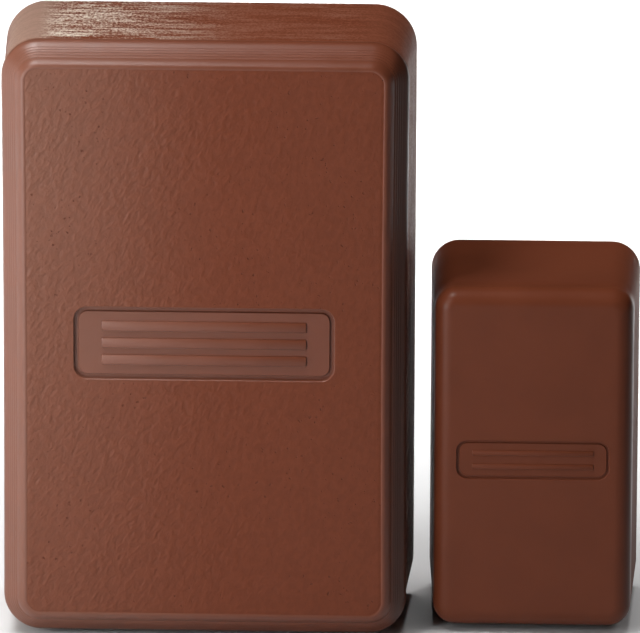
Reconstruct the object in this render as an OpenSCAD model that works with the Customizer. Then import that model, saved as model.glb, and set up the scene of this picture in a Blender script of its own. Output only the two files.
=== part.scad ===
// Wireless door contact sensor: a transmitter housing for the door frame and a magnet
// housing for the door leaf. Millimetres, +Z up, front faces look along -Y.
// The origin is the centre of the transmitter's flat mounting face.

/* [Transmitter housing] */
// Width over the lid's rim
tx_w = 43.2; // [42:0.1:46]
// Height over the lid's rim
tx_h = 65; // [64:0.5:70]
// Depth from the mounting face to the front face
tx_d = 19; // [19:0.5:22]
// Corner radius of the lid's rim
tx_corner = 4.1; // [3.6:0.1:5]
// Height of the lid's bevelled border
tx_round = 2.4; // [1.8:0.1:2.6]
// Growth of the base's side walls towards the mounting face, on each side
tx_flare = 0.45; // [0.2:0.05:0.8]
// Distance between the two wall screw holes
tx_screw_pitch = 46; // [45:0.5:46.5]
// Radius of the wall screw holes
tx_screw_r = 1.9; // [1.6:0.1:2]

/* [Magnet housing] */
// Width at the front of the walls
mg_w = 21.2; // [20.5:0.1:23]
// Height at the front of the walls
mg_h = 37.5; // [37:0.5:42]
// Depth from the mounting face to the front face
mg_d = 19; // [18:0.5:20]
// Corner radius at the front of the walls
mg_corner = 2.4; // [2.2:0.1:3]
// Height of the rounded front edge
mg_round = 1.8; // [1.2:0.1:2]
// Growth of the walls towards the mounting face, on each side
mg_flare = 0.7; // [0.4:0.1:1]
// Middle of the magnet housing, to the right of the transmitter's middle
mg_x = 35; // [35:0.5:45]
// How far the magnet's mounting face lies behind the transmitter's
mg_set_back = 4; // [0:0.5:5]
// Distance between the two wall screw holes
mg_screw_pitch = 29; // [28:0.5:30]
// Radius of the wall screw holes
mg_screw_r = 1.8; // [1.5:0.1:1.9]

/* [Moving parts] */
// Travel of the learn button
button_travel = 0.25; // [0.2:0.05:0.3]
// Gap kept between parts that move past each other
gap = 0.1; // [0.08:0.01:0.15]

/* [Colours] */
// Moulded housing colour
case_colour = "#6b3a27"; // ["#6b3a27", "#8a5a44", "#f1efe8"]

/* [Hidden] */
$fn = 48;

// Transmitter shell
wall = 1.6;                                  // side walls of both housings
tx_floor = 1.8;                              // rear wall of the base
lid_face = 1.6;                              // front wall of the lid
rim_h = 0.6;                                 // upright band of the lid's rim
rim_over = 0.25;                             // overhang of the rim over the base
tx_cx = tx_w / 2 - tx_corner;                // centres of the corner radii
tx_cz = tx_h / 2 - tx_corner;
rim_y = -(tx_d - tx_round - rim_h);          // rear face of the lid's rim
lid_in_y = -(tx_d - lid_face);               // inner face of the lid
base_front_y = rim_y + gap;                  // front edge of the base's walls
base_in_r = tx_corner - rim_over - wall;     // corner radius inside the base
in_x = tx_cx + base_in_r;                    // inner half width of the base
in_z = tx_cz + base_in_r;                    // inner half height of the base
skirt_t = 1;                                 // skirt of the lid, inside the base
skirt_gap = 2 * gap;
skirt_y = rim_y + 3;
hook_x = 10;                                 // hooks at the lid's top edge
hook_w = 4;
hook_rise = 0.6;
latch_w = 5;                                 // snap latch at the bottom
latch_z = -(in_z - skirt_gap - skirt_t - 0.25);
latch_nose_y = rim_y + 1.5;
screw_z = tx_screw_pitch / 2;

// Circuit board
board_w = 36.8;
board_h = 55;
board_t = 1.6;
board_y = -5.9;                              // component side of the board
board_back = board_y + board_t;
board_screw_at = [[-15.4, 24.2], [15.4, 4.2], [0.6, -16.4]];
driver_hole_r = 3.6;                         // lets the wall screws and their driver through
cell_cutout_x = -4.3;                        // right edge of the cut-out for the battery
cell_cutout_z = [-25.4, 4.8];
post_r = 2.3;
pilot_r = 0.85;

// Battery: half-AA lithium cell
cell_r = 7.25;
cell_len = 24;
cell_x = -10.9;
cell_y = -9.35;
cell_z0 = -21.6;                             // negative end
nub_r = 3;
nub_h = 1;
plate_t = 0.45;
plate_w = 10;
plate_top_y = -15;

// Reed switch and magnet share one height
mg_z = mg_h / 2 + mg_flare - tx_h / 2 - tx_flare;
reed_x = 17.2;
reed_y = -7.7;
reed_r = 1.15;
reed_bore = 0.8;
reed_half = 7;
reed_lead_r = 0.3;
reed_lead_half = 11;
blade_w = 1.2;
blade_t = 0.2;
blade_lap = 1.2;

// Switches, indicator and other board parts
tamper_at = [-13, 14.5];
tamper_body = 6;
tamper_h = 3.5;
tamper_stem_r = 1.7;
tamper_top_y = -15.5;
tamper_flange_y = -13.4;
lid_post_y = tamper_top_y - gap;
button_at = [-4.4, 14.5];
button_body_h = 3.4;
button_cap_r = 1.75;
button_cap_top = -11.4;
led_at = [3, 15.5];
led_r = 1.5;
antenna_z = 24;
antenna_y = -9.2;
antenna_x = [6.2, 17];
antenna_r = 2.5;
antenna_wire = 0.35;
shield_at = [11.6, 13.8];
chip_at = [6, 0];
crystal_at = [13, -4.8];
capacitor_at = [2.2, -9];
header_at = [-1.2, 7.6];
pin_pitch = 2.54;

// Screw terminal block
term_at = [10.2, -23.2];
term_w = 10;
term_dz = 7.6;
term_h = 9;
term_pitch = 5;
term_screw_r = 1.6;
term_y = board_y - term_h;

// Magnet housing
mg_cx = mg_w / 2 - mg_corner;
mg_cz = mg_h / 2 - mg_corner;
mg_plate_t = 2.2;
mg_plate_gap = 0.15;
mg_edge_gap = 0.1;                           // cover's rear edge, in front of the plate's face
magnet = [7, 7, 22];
magnet_y = mg_set_back - 8.05;               // rear face of the magnet
tray_wall = 1.2;
tray_clear = 0.1;

// Turns 2D outlines and upright shapes so that they grow towards the front from y
module frontward(y) {
    translate([0, y, 0]) rotate([90, 0, 0]) children();
}

// A rounded block from a profile of [corner radius, depth towards the front] points.
// cx and cz are the centres of its corner radii.
module block_form(cx, cz, profile) {
    first = profile[0];
    last = profile[len(profile) - 1];
    n = len(profile);
    frontward(0) {
        for (sx = [-1, 1], sz = [-1, 1])
            translate([sx * cx, sz * cz, 0])
                rotate_extrude() polygon(concat([[0, first.y]], profile, [[0, last.y]]));
        rotate([90, 0, 90]) linear_extrude(2 * cx, center = true)
            polygon(concat([for (p = profile) [cz + p.x, p.y]],
                           [for (i = [1:n]) [-cz - profile[n - i].x, profile[n - i].y]]));
        rotate([90, 0, 0]) linear_extrude(2 * cz, center = true)
            polygon(concat([for (p = profile) [cx + p.x, p.y]],
                           [for (i = [1:n]) [-cx - profile[n - i].x, profile[n - i].y]]));
    }
}

// Quarter round from the side wall (radius r, depth d) over to the front face
function edge_round(r, d, inset, rise, steps = 6) =
    [for (i = [0:steps]) let (a = 90 * i / steps)
        [r - inset * (1 - cos(a)), d + rise * sin(a)]];

// Bevel at 45 degrees from the side wall (radius r, depth d) to the front face, with soft edges
function edge_bevel(r, d, inset, rise, side_r = 0.97, front_r = 0.6, steps = 3) = concat(
    [for (i = [0:steps]) let (a = 45 * i / steps)
        [r - side_r * (1 - cos(a)), d - 0.25 + side_r * sin(a)]],
    [for (i = [0:steps]) let (a = 45 * (1 - i / steps))
        [r - inset + front_r * sin(a), d + rise - front_r * (1 - cos(a))]]);

// Box between two corners
module span(a, b) {
    translate(a) cube(b - a);
}

// Upright cylinder growing towards the front from y, at [x, z]
module stud(at, y, h, r) {
    translate([at.x, 0, at.y]) frontward(y) cylinder(h = h, r = r);
}

// Box on the board's component side, centred at [x, z]
module board_box(at, w, dz, h, lift = 0) {
    y = board_y - lift;
    span([at.x - w / 2, y - h, at.y - dz / 2], [at.x + w / 2, y, at.y + dz / 2]);
}

// Wound wire: turns of radius r0 to r1 along +Z, after a straight lead along the first tangent
module winding(r0, r1, length, turns, wire, lead = 0, sides = 8, per_turn = 16) {
    coil_n = round(turns * per_turn);
    coil = [for (i = [0:coil_n]) let (t = i / coil_n, a = 360 * turns * t, r = r0 + (r1 - r0) * t)
        [for (k = [0:sides - 1]) let (b = 360 * k / sides)
            [(r + wire * cos(b)) * cos(a), (r + wire * cos(b)) * sin(a), length * t + wire * sin(b)]]];
    start = [for (p = coil[0]) p - [0, lead, 0]];
    rings = lead > 0 ? concat([start], coil) : coil;
    n = len(rings) - 1;
    points = [for (ring = rings) for (p = ring) p];
    skin = [for (i = [0:n - 1]) for (k = [0:sides - 1])
        let (a = i * sides + k, b = i * sides + (k + 1) % sides)
        [a, a + sides, b + sides, b]];
    ends = [[for (k = [0:sides - 1]) k], [for (k = [0:sides - 1]) n * sides + sides - 1 - k]];
    polyhedron(points, concat(skin, ends));
}

// ---- transmitter housing ----

module transmitter_base() {
    r_front = tx_corner - rim_over;
    color(case_colour) {
        difference() {
            block_form(tx_cx, tx_cz, [[tx_corner + tx_flare, 0], [r_front, -base_front_y]]);
            frontward(-tx_floor) linear_extrude(tx_d) rounded_outline(in_x, in_z, base_in_r);
            for (s = [-1, 1]) {
                stud([0, s * screw_z], 1, tx_floor + 2, tx_screw_r);
                span([s * hook_x - hook_w / 2 - 0.5, skirt_y - 1.2, in_z - 1],
                     [s * hook_x + hook_w / 2 + 0.5, skirt_y + 1, in_z + 0.9]);
            }
            span([-3, latch_nose_y - 0.4, -tx_h], [3, latch_nose_y + 1.2, -in_z + 1]);
            cable_knockout();
        }
        for (s = [-1, 1]) screw_ring(s * screw_z);
        for (at = board_screw_at) board_post(at);
        for (z = [-17, -2]) cell_saddle(z);
    }
}

module rounded_outline(half_x, half_z, r) {
    square([2 * half_x, 2 * (half_z - r)], center = true);
    square([2 * (half_x - r), 2 * half_z], center = true);
    for (sx = [-1, 1], sz = [-1, 1])
        translate([sx * (half_x - r), sz * (half_z - r)]) circle(r);
}

// Thin round patch in the bottom wall, pushed out for an extra contact's cable
module cable_knockout() {
    translate([term_at.x, -9, -tx_h / 2 - tx_flare - 1]) cylinder(h = 2.1, r = 2.5);
}

module screw_ring(z) {
    difference() {
        stud([0, z], -tx_floor, 1, 3.4);
        stud([0, z], 0, tx_floor + 2, tx_screw_r);
    }
}

module board_post(at) {
    difference() {
        stud(at, -tx_floor, -board_back - tx_floor, post_r);
        stud(at, -tx_floor, -board_back, pilot_r);
    }
}

module cell_saddle(z) {
    difference() {
        span([cell_x - 7.5, -6, z - 1], [cell_cutout_x - 0.2, -tx_floor, z + 1]);
        translate([cell_x, cell_y, z - 2]) cylinder(h = 4, r = cell_r + 0.15);
    }
}

// Snap tongue of the base: it stands behind the lid's skirt and its nose holds the lid
module lid_latch() {
    color(case_colour) {
        span([-latch_w / 2, rim_y + 0.8, latch_z], [latch_w / 2, -tx_floor, latch_z + 1]);
        span([-latch_w / 2, latch_nose_y - 0.1, latch_z - 1], [latch_w / 2, latch_nose_y + 0.8, latch_z]);
    }
}

module transmitter_lid() {
    skirt_x = in_x - skirt_gap;
    skirt_z = in_z - skirt_gap;
    skirt_r = base_in_r - skirt_gap;
    rim = [[tx_corner, -rim_y]];
    border = edge_bevel(tx_corner, -rim_y + rim_h, tx_round + gap, tx_round);
    color(case_colour) {
        difference() {
            union() {
                block_form(tx_cx, tx_cz, concat(rim, border));
                frontward(skirt_y) linear_extrude(skirt_y - rim_y + 0.5)
                    rounded_outline(skirt_x, skirt_z, skirt_r);
            }
            frontward(skirt_y + 1) linear_extrude(skirt_y + 1 - lid_in_y)
                rounded_outline(skirt_x - skirt_t, skirt_z - skirt_t, skirt_r - skirt_t + 0.3);
            span([-latch_w / 2 - 0.4, latch_nose_y - 0.3, -in_z - 1],
                 [latch_w / 2 + 0.4, latch_nose_y + 1, -skirt_z + skirt_t + 1]);
        }
        for (s = [-1, 1]) lid_hook(s * hook_x, skirt_z);
        difference() {
            stud(tamper_at, lid_post_y, lid_post_y - lid_in_y + 0.5, 2.2);
            stud(tamper_at, lid_post_y + 1, 2, 0.7);
        }
    }
}

// Hook at the lid's top edge: its toe sits in a pocket of the base's top wall
module lid_hook(x, skirt_z) {
    span([x - hook_w / 2, skirt_y - 0.6, skirt_z - skirt_t],
         [x + hook_w / 2, skirt_y + 0.4, in_z + hook_rise]);
}

// ---- electronics ----

module circuit_board() {
    color("#1f5a37") difference() {
        frontward(board_back) linear_extrude(board_t) rounded_outline(board_w / 2, board_h / 2, 1.5);
        span([-board_w, board_y - 1, cell_cutout_z[0]], [cell_cutout_x, 0, cell_cutout_z[1]]);
        for (s = [-1, 1]) stud([0, s * screw_z], 0, 10, driver_hole_r);
        for (at = board_screw_at) stud(at, 0, 10, 1.1);
        for (s = [-1, 1]) stud([reed_x, mg_z + s * reed_lead_half], 0, 10, reed_lead_r + 0.05);
        stud([antenna_x[0], antenna_z + antenna_r], 0, 10, antenna_wire + 0.1);
    }
}

module board_screws() {
    color("silver") for (at = board_screw_at) difference() {
        union() {
            stud(at, board_y, 1.3, 2);
            stud(at, board_back + 2, 2 - board_y + board_back, pilot_r - 0.05);
        }
        for (a = [0, 90]) translate([at.x, board_y - 1.1, at.y]) rotate([0, a, 0])
            cube([2.2, 0.8, 0.45], center = true);
    }
}

module battery_cell() {
    color("gainsboro") translate([cell_x, cell_y, cell_z0]) {
        cylinder(h = cell_len, r = cell_r);
        translate([0, 0, cell_len]) cylinder(h = nub_h, r = nub_r);
    }
}

// Contact plate standing on the board, with a foot; side = 1 above the cell, -1 below it
module contact_plate(z, side) {
    x0 = cell_x - plate_w / 2;
    x1 = cell_x + plate_w / 2;
    color("silver") {
        span([x0, plate_top_y, min(z, z + side * plate_t)], [x1, board_y, max(z, z + side * plate_t)]);
        span([cell_x - 2.5, board_y - plate_t, min(z, z + side * 1.9)],
             [cell_x + 2.5, board_y, max(z, z + side * 1.9)]);
    }
}

module battery_plate_plus() {
    contact_plate(cell_z0 + cell_len + nub_h + 0.05, 1.6);
}

module battery_plate_minus() {
    contact_plate(cell_z0 - 3.5, -1);
}

module battery_spring() {
    wire = 0.35;
    color("silver") translate([cell_x, cell_y, cell_z0 - 3.5 + wire + 0.02])
        winding(4.2, 2.4, 3.44 - 2 * wire, 3, wire);
}

module reed_glass() {
    end_r = reed_r - 0.35;
    color("#a9c9a0") translate([reed_x, reed_y, mg_z]) difference() {
        rotate_extrude() polygon(concat(
            [[0, -reed_half], [end_r, -reed_half], [reed_r, -reed_half + 0.9],
             [reed_r, reed_half - 0.9], [end_r, reed_half], [0, reed_half]]));
        cylinder(h = 2 * reed_half - 3, r = reed_bore, center = true);
        cylinder(h = 2 * reed_half + 2, r = reed_lead_r, center = true);
    }
}

// Half of the reed contact: lead through the board, bend, seal and flat blade
module reed_blade(side, offset) {
    color("silver") translate([reed_x, reed_y, mg_z]) rotate([0, side > 0 ? 0 : 180, 0]) {
        translate([0, 0, reed_half - 1.5]) cylinder(h = reed_lead_half - reed_half + 1.5, r = reed_lead_r);
        translate([0, 0, reed_lead_half]) sphere(reed_lead_r);
        translate([0, 0, reed_lead_half]) rotate([-90, 0, 0])
            cylinder(h = board_back - reed_y + 0.8, r = reed_lead_r);
        translate([-blade_w / 2, offset - blade_t / 2, -blade_lap / 2])
            cube([blade_w, blade_t, reed_half - 1.5 + blade_lap / 2]);
    }
}

module reed_blade_upper() {
    reed_blade(1, -0.13);
}

module reed_blade_lower() {
    reed_blade(-1, 0.13);
}

module tamper_switch() {
    color("#2b2b2e") difference() {
        board_box(tamper_at, tamper_body, tamper_body, tamper_h);
        stud(tamper_at, board_y - 0.9, tamper_h, tamper_stem_r + 0.05);
    }
}

module tamper_plunger() {
    color("ivory") {
        stud(tamper_at, -7.3, -7.3 - tamper_top_y, tamper_stem_r);
        stud(tamper_at, tamper_flange_y, 0.8, 2.9);
    }
}

module tamper_spring() {
    wire = 0.22;
    start = board_y - tamper_h - wire - 0.03;
    color("silver") translate([tamper_at.x, start, tamper_at.y]) rotate([90, 0, 0])
        winding(2.3, 2.3, start - tamper_flange_y - wire - 0.03, 4, wire);
}

module learn_button_body() {
    color("#26272a") difference() {
        board_box(button_at, 6, 6, button_body_h);
        stud(button_at, board_y - 1, button_body_h, button_cap_r + 0.05);
    }
}

module learn_button_cap() {
    start = board_y - 1.3 - button_travel;
    color("#222222") stud(button_at, start, start - button_cap_top, button_cap_r);
}

module status_led() {
    color("#b3231c") {
        stud(led_at, board_y, 1, led_r + 0.3);
        stud(led_at, board_y - 1, 3, led_r);
        translate([led_at.x, board_y - 4, led_at.y]) sphere(led_r);
    }
}

module antenna_coil() {
    length = antenna_x[1] - antenna_x[0];
    color("#b87333") translate([antenna_x[0], antenna_y, antenna_z]) rotate([180, 0, 0]) rotate([0, 90, 0])
        winding(antenna_r, antenna_r, length, 8, antenna_wire, board_back + 0.8 - antenna_y);
}

module rf_shield() {
    color("#c9cbd0") difference() {
        board_box(shield_at, 10.6, 9.6, 2.4);
        translate([shield_at.x, board_y - 2.4, shield_at.y]) rotate([90, 0, 0])
            cylinder(h = 0.4, r = 1.1, center = true);
    }
}

module controller_chip() {
    color("#202124") {
        board_box(chip_at, 6.6, 6.6, 1.3, 0.1);
        for (side = [0:3], i = [0:7]) translate([chip_at.x, 0, chip_at.y]) rotate([0, 90 * side, 0])
            translate([-2.8 + 0.8 * i, board_y - 0.25, 3.9]) cube([0.35, 0.3, 1.3], center = true);
    }
}

module crystal() {
    color("#d5d6da") board_outline(crystal_at, 2.2, 5.5, 2.15, 3.4);
}

module board_outline(at, half_x, half_z, r, h) {
    translate([at.x, 0, at.y]) frontward(board_y) linear_extrude(h) rounded_outline(half_x, half_z, r);
}

module capacitor() {
    color("#2f3136") board_outline(capacitor_at, 3.2, 3.2, 0.5, 0.8);
    color("#c4c7cc") stud(capacitor_at, board_y - 0.8, 5, 3);
}

module jumper_header() {
    color("#1d1d1f") difference() {
        board_box(header_at, 2 * pin_pitch, pin_pitch - 0.1, 2.5);
        for (s = [-1, 1]) header_pin_hole(s);
    }
}

module header_pin_hole(s) {
    span([header_at.x + s * pin_pitch / 2 - 0.32, -20, header_at.y - 0.32],
         [header_at.x + s * pin_pitch / 2 + 0.32, 0, header_at.y + 0.32]);
}

module jumper_pins() {
    color("gold") for (s = [-1, 1])
        span([header_at.x + s * pin_pitch / 2 - 0.3, board_y - 8.4, header_at.y - 0.3],
             [header_at.x + s * pin_pitch / 2 + 0.3, board_y, header_at.y + 0.3]);
}

module jumper_link() {
    color("#26272a") difference() {
        board_box(header_at, 2 * pin_pitch - 0.2, pin_pitch - 0.2, 6.2, 2.6);
        for (s = [-1, 1]) header_pin_hole(s);
    }
}

module terminal_block() {
    color("#2f6b4a") difference() {
        board_box(term_at, term_w, term_dz, term_h);
        for (s = [-1, 1]) {
            stud([term_at.x + s * term_pitch / 2, term_at.y], term_y + 4, 5, term_screw_r + 0.05);
            span([term_at.x + s * term_pitch / 2 - 1.6, term_y + 3.9, term_at.y - term_dz],
                 [term_at.x + s * term_pitch / 2 + 1.6, board_y - 1, term_at.y + 2]);
        }
    }
}

// Metal cages that the terminal screws press the wires into
module terminal_clamps() {
    color("#b9bcc2") for (s = [-1, 1]) difference() {
        span([term_at.x + s * term_pitch / 2 - 1.5, term_y + 4, term_at.y - 3],
             [term_at.x + s * term_pitch / 2 + 1.5, board_y - 1.1, term_at.y + 1.9]);
        span([term_at.x + s * term_pitch / 2 - 1.1, term_y + 4.5, term_at.y - 4],
             [term_at.x + s * term_pitch / 2 + 1.1, board_y - 1.5, term_at.y + 3]);
    }
}

module terminal_screw(s) {
    at = [term_at.x + s * term_pitch / 2, term_at.y];
    color("#c9ccd2") difference() {
        stud(at, term_y + 3.8, 3.2, term_screw_r);
        translate([at.x, term_y + 0.6, at.y]) cube([2 * term_screw_r + 1, 0.9, 0.6], center = true);
    }
}

module terminal_screw_left() {
    terminal_screw(-1);
}

module terminal_screw_right() {
    terminal_screw(1);
}

// ---- magnet housing ----

module at_magnet() {
    translate([mg_x, mg_set_back, mg_z]) children();
}

module magnet_cover() {
    front_wall = mg_d - mg_round;
    color(case_colour) at_magnet() difference() {
        block_form(mg_cx, mg_cz, concat([[mg_corner + mg_flare, mg_edge_gap]],
            edge_round(mg_corner, front_wall, mg_round + gap, mg_round)));
        block_form(mg_cx, mg_cz, [[mg_corner + mg_flare - wall, -1], [mg_corner - wall, front_wall]]);
        span([-3, -1.2, -mg_h], [3, 1, -mg_h / 2 + 2]);
    }
}

module magnet_base() {
    plate_r = mg_corner + mg_flare - wall - mg_plate_gap - 0.1;
    tray_x = magnet.x / 2 + tray_clear;
    tray_z = magnet.z / 2 + tray_clear;
    tray_floor = mg_set_back - magnet_y - 0.05;
    color(case_colour) at_magnet() difference() {
        union() {
            frontward(0) linear_extrude(mg_plate_t)
                rounded_outline(mg_cx + plate_r, mg_cz + plate_r, plate_r);
            span([-tray_x - tray_wall, -tray_floor - 5, -tray_z - tray_wall],
                 [tray_x + tray_wall, -1, tray_z + tray_wall]);
        }
        span([-tray_x, -tray_floor - 6, -tray_z], [tray_x, -tray_floor, tray_z]);
        span([-tray_x, -tray_floor + 1.2, -tray_z], [tray_x, 1, tray_z]);
        for (s = [-1, 1]) stud([0, s * mg_screw_pitch / 2], 1, mg_plate_t + 2, mg_screw_r);
    }
}

module bar_magnet() {
    color("#3b3c40") translate([mg_x, magnet_y - magnet.y / 2, mg_z])
        cube(magnet, center = true);
}

module magnet_foam() {
    front = mg_set_back - mg_d + mg_round + 0.1;
    back = magnet_y - magnet.y - 0.02;
    color("#4a4b4d") span([mg_x - 3, front, mg_z - 9], [mg_x + 3, back, mg_z + 9]);
}

transmitter_base();
transmitter_lid();
lid_latch();
circuit_board();
board_screws();
battery_cell();
battery_plate_plus();
battery_plate_minus();
battery_spring();
reed_glass();
reed_blade_upper();
reed_blade_lower();
tamper_switch();
tamper_plunger();
tamper_spring();
learn_button_body();
learn_button_cap();
status_led();
antenna_coil();
rf_shield();
controller_chip();
crystal();
capacitor();
jumper_header();
jumper_pins();
jumper_link();
terminal_block();
terminal_clamps();
terminal_screw_left();
terminal_screw_right();
magnet_cover();
magnet_base();
bar_magnet();
magnet_foam();
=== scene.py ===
"""Wireless door contact sensor: brown transmitter housing and magnet housing, in studio light."""
import math

import bmesh
import bpy
from mathutils import Matrix, Vector


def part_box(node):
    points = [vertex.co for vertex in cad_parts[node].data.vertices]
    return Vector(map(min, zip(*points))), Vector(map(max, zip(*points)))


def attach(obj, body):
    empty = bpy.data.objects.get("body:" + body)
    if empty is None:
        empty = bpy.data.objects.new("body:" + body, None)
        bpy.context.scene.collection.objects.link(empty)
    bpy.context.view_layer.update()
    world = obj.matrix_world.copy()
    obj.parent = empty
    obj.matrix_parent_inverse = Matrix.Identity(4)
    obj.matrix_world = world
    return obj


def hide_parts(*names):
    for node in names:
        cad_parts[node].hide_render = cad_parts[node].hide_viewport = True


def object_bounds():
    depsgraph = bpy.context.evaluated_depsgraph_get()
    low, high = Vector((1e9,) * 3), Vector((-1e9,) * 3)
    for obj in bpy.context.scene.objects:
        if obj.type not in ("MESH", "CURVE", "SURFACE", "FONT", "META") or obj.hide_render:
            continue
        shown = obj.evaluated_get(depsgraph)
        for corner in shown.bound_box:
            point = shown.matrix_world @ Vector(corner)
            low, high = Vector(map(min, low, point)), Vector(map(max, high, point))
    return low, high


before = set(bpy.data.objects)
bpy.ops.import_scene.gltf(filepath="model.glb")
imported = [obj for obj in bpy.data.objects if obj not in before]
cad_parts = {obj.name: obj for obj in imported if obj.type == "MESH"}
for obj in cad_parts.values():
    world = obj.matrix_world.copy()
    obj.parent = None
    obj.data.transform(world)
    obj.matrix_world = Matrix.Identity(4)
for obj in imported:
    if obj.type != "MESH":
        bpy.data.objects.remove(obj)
cad_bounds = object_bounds()
MM = 0.001
CREASE = 35.0                          # faces that meet at more than this, in degrees, keep a hard edge

# ---------------------------------------------------------------- sizes, read from the frame (mm)


def node_box(name):
    """Lowest and highest corner of a CAD node, in millimetres."""
    low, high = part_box(name)
    return Vector(low) / MM, Vector(high) / MM


def middle(name):
    """Middle of a CAD node's box, in millimetres."""
    low, high = node_box(name)
    return (low + high) / 2


LID_LOW, LID_HIGH = node_box("transmitter_lid")
BASE_LOW, BASE_HIGH = node_box("transmitter_base")
COVER_LOW, COVER_HIGH = node_box("magnet_cover")
BOARD_LOW, BOARD_HIGH = node_box("circuit_board")
BOARD_Y = BOARD_LOW.y                  # component side of the board

LID_HALF = Vector((LID_HIGH.x, 0, LID_HIGH.z))
FRONT_Y = LID_LOW.y                    # the lid's front face
RIM_H = 0.6                            # upright band of the lid's rim
BORDER_RISE = 2.4                      # the lid's bevelled border: depth and width
BORDER_INSET = 2.5
RIM_Y = FRONT_Y + BORDER_RISE + RIM_H  # rear face of the rim
LID_CORNER = 4.1
WALL = 1.6
LID_FACE_T = 1.6
SKIRT_HALF = Vector((19.55, 0, 30.45))
SKIRT_T = 1.0
SKIRT_Y = RIM_Y + 3.0
BASE_FRONT_Y = BASE_LOW.y
BASE_CORNER = 3.85
BASE_INSET = 0.25                      # the base's front edge stands this far inside the lid's rim
BASE_FLARE = BASE_HIGH.x - (LID_HALF.x - BASE_INSET)
BASE_INNER = Vector((19.75, 0, 30.65))
FLOOR_Y = -1.8                         # inside face of the base's rear wall
WALL_SCREW_Z = 23                      # the two wall screws, above and below the middle
HOOK_X = 10                            # the lid's two hooks, left and right of the middle
LID_BOW = 0.12                         # how far the lid's long sides bow in
LID_PLATE = (13.3, 3.4)                # half the width and height of the lid's blank name plate
CABLE_KNOCKOUT = (10.2, -9)            # place in the bottom wall

COVER_MID = (COVER_LOW + COVER_HIGH) / 2
COVER_FLARE = 0.7
COVER_HALF = (COVER_HIGH - COVER_LOW) / 2 - Vector((COVER_FLARE, 0, COVER_FLARE))
COVER_CORNER = 2.4
COVER_ROUND = 1.8
COVER_PLATE = (7.85, 1.8)              # half the width and height of the cover's blank name plate

# ---------------------------------------------------------------- camera


def make_camera():
    """The photograph's view: a long lens, a little above and to the right of the middle."""
    distance, pitch, yaw, roll = 950.0, 15.0, -1.73, 0.23
    target = Vector((12.03, -10.0, 0.79))
    pitch, yaw, roll = (math.radians(v) for v in (pitch, yaw, roll))
    forward = Vector((math.sin(yaw) * math.cos(pitch), math.cos(yaw) * math.cos(pitch), -math.sin(pitch)))
    right = Vector((math.cos(yaw), -math.sin(yaw), 0))
    up = right.cross(forward)
    right, up = (math.cos(roll) * right + math.sin(roll) * up, math.cos(roll) * up - math.sin(roll) * right)
    data = bpy.data.cameras.new("camera")
    data.lens = 499.2
    data.sensor_width = 36
    data.clip_end = 20
    camera = bpy.data.objects.new("camera", data)
    turn = Matrix((right, up, -forward)).transposed()
    camera.matrix_world = Matrix.Translation((target - distance * forward) * MM) @ turn.to_4x4()
    bpy.context.scene.collection.objects.link(camera)
    bpy.context.scene.camera = camera


# ---------------------------------------------------------------- mesh helpers


def outline(half_x, half_z, r, y, bow=0.0, mid=(0.0, 0.0)):
    """Closed ring of a rounded rectangle at depth y; bow pulls in the long sides' middles."""
    per_corner, per_side = 16, 10
    points = []
    corners = ((1, 1, 0), (-1, 1, 90), (-1, -1, 180), (1, -1, 270))
    for i, (sx, sz, start) in enumerate(corners):
        for k in range(per_corner + 1):
            a = math.radians(start + 90 * k / per_corner)
            points.append((sx * (half_x - r) + r * math.cos(a), sz * (half_z - r) + r * math.sin(a)))
        nx, nz, nstart = corners[(i + 1) % 4]
        a = math.radians(nstart)
        a0, b0 = points[-1]
        a1, b1 = nx * (half_x - r) + r * math.cos(a), nz * (half_z - r) + r * math.sin(a)
        points += [(a0 + (a1 - a0) * k / per_side, b0 + (b1 - b0) * k / per_side)
                   for k in range(1, per_side)]
    ring = []
    for x, z in points:
        pull = bow * (1 - (z / half_z) ** 2) * (x / half_x)
        ring.append(Vector((mid[0] + x - pull, y, mid[1] + z)))
    return ring


def loft(bm, rings, close_start=True, close_end=True, material=None):
    """Joins rings of equal length with quads; material gives the index for each band."""
    loops = [[bm.verts.new(p * MM) for p in ring] for ring in rings]
    n = len(loops[0])
    for b, (one, two) in enumerate(zip(loops, loops[1:])):
        for i in range(n):
            face = bm.faces.new((one[i], one[(i + 1) % n], two[(i + 1) % n], two[i]))
            face.material_index = material(b) if material else 0
    if close_start:
        bm.faces.new(list(reversed(loops[0])))
    if close_end:
        bm.faces.new(loops[-1]).material_index = material(len(rings) - 1) if material else 0
    return loops


def bridge(bm, one, two):
    """Joins two loops of vertices with quads."""
    n = len(one)
    for i in range(n):
        bm.faces.new((one[i], two[i], two[(i + 1) % n], one[(i + 1) % n]))


def smooth_shading(mesh, sharp=CREASE):
    """Smooth shading, apart from edges sharper than that."""
    mesh.shade_smooth()
    mesh.set_sharp_from_angle(angle=math.radians(sharp))


def piece_from(bm, name, sharp=CREASE):
    """Turns a bmesh into a linked object with smooth shading."""
    mesh = bpy.data.meshes.new(name)
    bm.to_mesh(mesh)
    bm.free()
    smooth_shading(mesh, sharp)
    piece = bpy.data.objects.new(name, mesh)
    bpy.context.scene.collection.objects.link(piece)
    return piece


def finish_mesh(bm, name, sharp=CREASE):
    """Turns a bmesh into a piece whose normals point outwards."""
    bmesh.ops.recalc_face_normals(bm, faces=bm.faces)
    return piece_from(bm, name, sharp)


def box_mesh(name, low, high, bevel=0.0):
    """A box between two corners, with its edges bevelled by that much."""
    bm = bmesh.new()
    low, high = Vector(low), Vector(high)
    bmesh.ops.create_cube(bm, size=1, matrix=Matrix.Translation((low + high) / 2 * MM)
                          @ Matrix.Diagonal(((high - low) * MM).to_4d()))
    if bevel:
        bmesh.ops.bevel(bm, geom=bm.edges[:], offset=bevel * MM, segments=2, affect="EDGES", profile=0.5)
    return finish_mesh(bm, name)


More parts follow.
